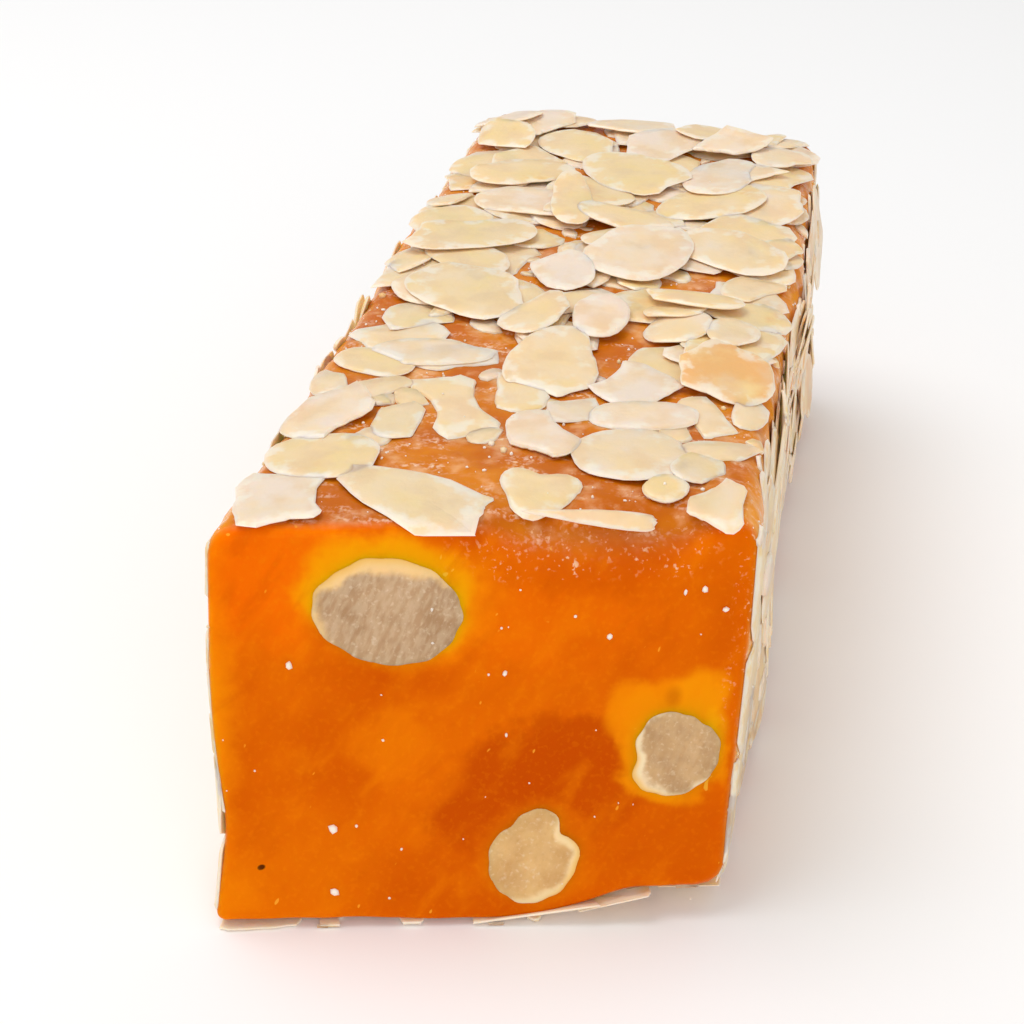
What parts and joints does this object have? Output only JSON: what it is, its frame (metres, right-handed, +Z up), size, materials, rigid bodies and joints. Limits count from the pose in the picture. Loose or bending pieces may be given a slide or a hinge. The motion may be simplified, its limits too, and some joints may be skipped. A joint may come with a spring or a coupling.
{
  "type": "turkish delight",
  "caption": "Cut bar of amber jelly sweet coated with flaked almonds, with hazelnuts showing in its slanted cut face and a rounded far end.",
  "frame": {"origin": "middle of the underside of the bar's box, on the surface it lies on", "axes": "+Z up, +Y along the bar from the cut face to the rounded far end, +X across it to the right as seen from the cut face"},
  "size_m": [0.0428, 0.1098, 0.0345],
  "materials": {
    "jelly": "glossy translucent amber starch jelly, lightly dusted",
    "hazelnut": "matt cut nut kernel with fine knife lines",
    "almond": "satin cream blanched almond flakes and crumbs"
  },
  "bodies": {
    "root": {"jelly_bar": "jelly", "hazelnut_upper_left": "hazelnut", "hazelnut_right": "hazelnut", "hazelnut_lower": "hazelnut"}
  },
  "joints": []
}
